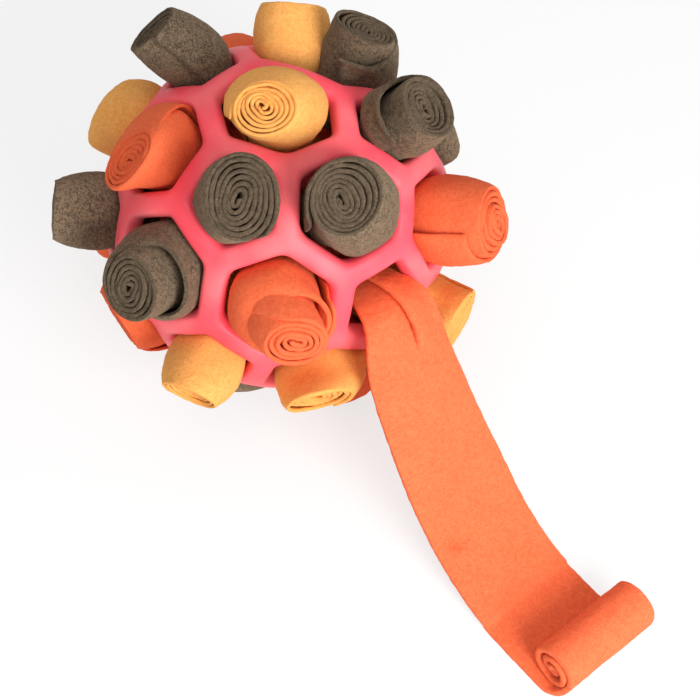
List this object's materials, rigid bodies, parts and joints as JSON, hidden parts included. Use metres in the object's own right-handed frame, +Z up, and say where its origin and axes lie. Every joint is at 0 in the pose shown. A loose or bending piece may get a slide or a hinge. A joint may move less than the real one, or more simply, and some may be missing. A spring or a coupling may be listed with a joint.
{
  "type": "dog puzzle ball",
  "caption": "Hollow pink rubber lattice ball for dogs, stuffed with rolled fleece strips in brown, orange and yellow, with an orange strip drawn out and unrolled.",
  "frame": {"origin": "on the surface that the toy stands on, straight below the ball's centre", "axes": "+Z up; -Y towards the viewer of the picture; the open strip runs out at about 39 degrees from -Y towards +X"},
  "size_m": [0.2478, 0.2843, 0.1782],
  "materials": {
    "rubber": "satin",
    "fleece_brown": "matte fleece",
    "fleece_orange": "matte fleece",
    "fleece_yellow": "matte fleece"
  },
  "bodies": {
    "ball": {"rubber_ball": "rubber"},
    "roll_01": {"roll_01_yellow": "fleece_yellow"},
    "roll_02": {"roll_02_brown": "fleece_brown"},
    "roll_03": {"roll_03_brown": "fleece_brown"},
    "roll_04": {"roll_04_brown": "fleece_brown"},
    "roll_05": {"roll_05_brown": "fleece_brown"},
    "roll_06": {"roll_06_orange": "fleece_orange"},
    "roll_07": {"roll_07_orange": "fleece_orange"},
    "roll_08": {"roll_08_orange": "fleece_orange"},
    "roll_09": {"roll_09_brown": "fleece_brown"},
    "roll_10": {"roll_10_orange": "fleece_orange"},
    "roll_11": {"roll_11_yellow": "fleece_yellow"},
    "roll_12": {"roll_12_brown": "fleece_brown"},
    "roll_13": {"roll_13_orange": "fleece_orange"},
    "roll_14": {"roll_14_brown": "fleece_brown"},
    "roll_15": {"roll_15_yellow": "fleece_yellow"},
    "roll_16": {"roll_16_yellow": "fleece_yellow"},
    "roll_17": {"roll_17_brown": "fleece_brown"},
    "roll_18": {"roll_18_yellow": "fleece_yellow"},
    "roll_19": {"roll_19_yellow": "fleece_yellow"},
    "roll_20": {"roll_20_brown": "fleece_brown"},
    "roll_21": {"roll_21_yellow": "fleece_yellow"},
    "roll_22": {"roll_22_orange": "fleece_orange"},
    "roll_23": {"roll_23_orange": "fleece_orange"},
    "roll_24": {"roll_24_orange": "fleece_orange"},
    "roll_25": {"roll_25_yellow": "fleece_yellow"},
    "roll_26": {"roll_26_brown": "fleece_brown"},
    "roll_27": {"roll_27_yellow": "fleece_yellow"},
    "roll_28": {"roll_28_brown": "fleece_brown"},
    "roll_29": {"roll_29_orange": "fleece_orange"},
    "roll_30": {"roll_30_brown": "fleece_brown"},
    "roll_31": {"roll_31_yellow": "fleece_yellow"},
    "roll_32": {"roll_32_orange": "fleece_orange"},
    "open_strip": {"open_strip": "fleece_orange"}
  },
  "joints": [
    {"name": "roll_01_pull", "type": "slide", "parent": "ball", "child": "roll_01", "axis": [-0.0281, -0.0608, 0.9978], "range_m": [0, 0.03]},
    {"name": "roll_02_pull", "type": "slide", "parent": "ball", "child": "roll_02", "axis": [-0.2401, -0.5666, 0.7882], "range_m": [0, 0.03]},
    {"name": "roll_03_pull", "type": "slide", "parent": "ball", "child": "roll_03", "axis": [0.6491, -0.0251, 0.7603], "range_m": [0, 0.03]},
    {"name": "roll_04_pull", "type": "slide", "parent": "ball", "child": "roll_04", "axis": [-0.4461, 0.4541, 0.7712], "range_m": [0, 0.03]},
    {"name": "roll_05_pull", "type": "slide", "parent": "ball", "child": "roll_05", "axis": [0.4024, -0.5572, 0.7264], "range_m": [0, 0.03]},
    {"name": "roll_06_pull", "type": "slide", "parent": "ball", "child": "roll_06", "axis": [-0.6767, -0.0951, 0.7301], "range_m": [0, 0.03]},
    {"name": "roll_07_pull", "type": "slide", "parent": "ball", "child": "roll_07", "axis": [-0.0125, -0.9428, 0.3331], "range_m": [0, 0.03]},
    {"name": "roll_08_pull", "type": "slide", "parent": "ball", "child": "roll_08", "axis": [0.9084, -0.2802, 0.3104], "range_m": [0, 0.03]},
    {"name": "roll_09_pull", "type": "slide", "parent": "ball", "child": "roll_09", "axis": [0.8652, 0.428, 0.2612], "range_m": [0, 0.03]},
    {"name": "roll_10_pull", "type": "slide", "parent": "ball", "child": "roll_10", "axis": [-0.283, 0.918, 0.2777], "range_m": [0, 0.03]},
    {"name": "roll_11_pull", "type": "slide", "parent": "ball", "child": "roll_11", "axis": [-0.8267, 0.4651, 0.3164], "range_m": [0, 0.03]},
    {"name": "roll_12_pull", "type": "slide", "parent": "ball", "child": "roll_12", "axis": [-0.6694, -0.6639, 0.3333], "range_m": [0, 0.03]},
    {"name": "roll_13_pull", "type": "slide", "parent": "ball", "child": "roll_13", "axis": [0.3946, 0.9132, 0.102], "range_m": [0, 0.03]},
    {"name": "roll_14_pull", "type": "slide", "parent": "ball", "child": "roll_14", "axis": [-0.975, -0.1196, 0.1874], "range_m": [0, 0.03]},
    {"name": "roll_15_pull", "type": "slide", "parent": "ball", "child": "roll_15", "axis": [-0.3838, -0.9041, -0.1878], "range_m": [0, 0.03]},
    {"name": "roll_16_pull", "type": "slide", "parent": "ball", "child": "roll_16", "axis": [0.9738, 0.1102, -0.199], "range_m": [0, 0.03]},
    {"name": "roll_17_pull", "type": "slide", "parent": "ball", "child": "roll_17", "axis": [-0.5954, 0.7792, -0.196], "range_m": [0, 0.03]},
    {"name": "roll_18_pull", "type": "slide", "parent": "ball", "child": "roll_18", "axis": [0.2403, -0.9117, -0.3333], "range_m": [0, 0.03]},
    {"name": "roll_19_pull", "type": "slide", "parent": "ball", "child": "roll_19", "axis": [0.81, -0.4824, -0.3335], "range_m": [0, 0.03]},
    {"name": "roll_20_pull", "type": "slide", "parent": "ball", "child": "roll_20", "axis": [0.6651, 0.653, -0.3624], "range_m": [0, 0.03]},
    {"name": "roll_21_pull", "type": "slide", "parent": "ball", "child": "roll_21", "axis": [0.0095, 0.9335, -0.3584], "range_m": [0, 0.03]},
    {"name": "roll_22_pull", "type": "slide", "parent": "ball", "child": "roll_22", "axis": [-0.9097, 0.2478, -0.3333], "range_m": [0, 0.03]},
    {"name": "roll_23_pull", "type": "slide", "parent": "ball", "child": "roll_23", "axis": [-0.8227, -0.4605, -0.3333], "range_m": [0, 0.03]},
    {"name": "roll_24_pull", "type": "slide", "parent": "ball", "child": "roll_24", "axis": [0.6615, 0.081, -0.7455], "range_m": [0, 0.03]},
    {"name": "roll_25_pull", "type": "slide", "parent": "ball", "child": "roll_25", "axis": [-0.4013, 0.5324, -0.7454], "range_m": [0, 0.03]},
    {"name": "roll_26_pull", "type": "slide", "parent": "ball", "child": "roll_26", "axis": [-0.2605, -0.6137, -0.7454], "range_m": [0, 0.03]},
    {"name": "roll_27_pull", "type": "slide", "parent": "ball", "child": "roll_27", "axis": [0.0684, 0.6656, 0.7431], "range_m": [0, 0.03]},
    {"name": "roll_28_pull", "type": "slide", "parent": "ball", "child": "roll_28", "axis": [0.4659, 0.4803, 0.7431], "range_m": [0, 0.03]},
    {"name": "roll_29_pull", "type": "slide", "parent": "ball", "child": "roll_29", "axis": [0.3655, -0.4846, -0.7947], "range_m": [0, 0.03]},
    {"name": "roll_30_pull", "type": "slide", "parent": "ball", "child": "roll_30", "axis": [0.2377, 0.5583, -0.7949], "range_m": [0, 0.03]},
    {"name": "roll_31_pull", "type": "slide", "parent": "ball", "child": "roll_31", "axis": [-0.6027, -0.0739, -0.7945], "range_m": [0, 0.03]},
    {"name": "roll_32_pull", "type": "slide", "parent": "ball", "child": "roll_32", "axis": [0, 0, -1], "range_m": [0, 0.03]},
    {"name": "open_strip_pull", "type": "slide", "parent": "ball", "child": "open_strip", "axis": [0.6266, -0.7793, 0], "range_m": [0, 0.025]}
  ]
}
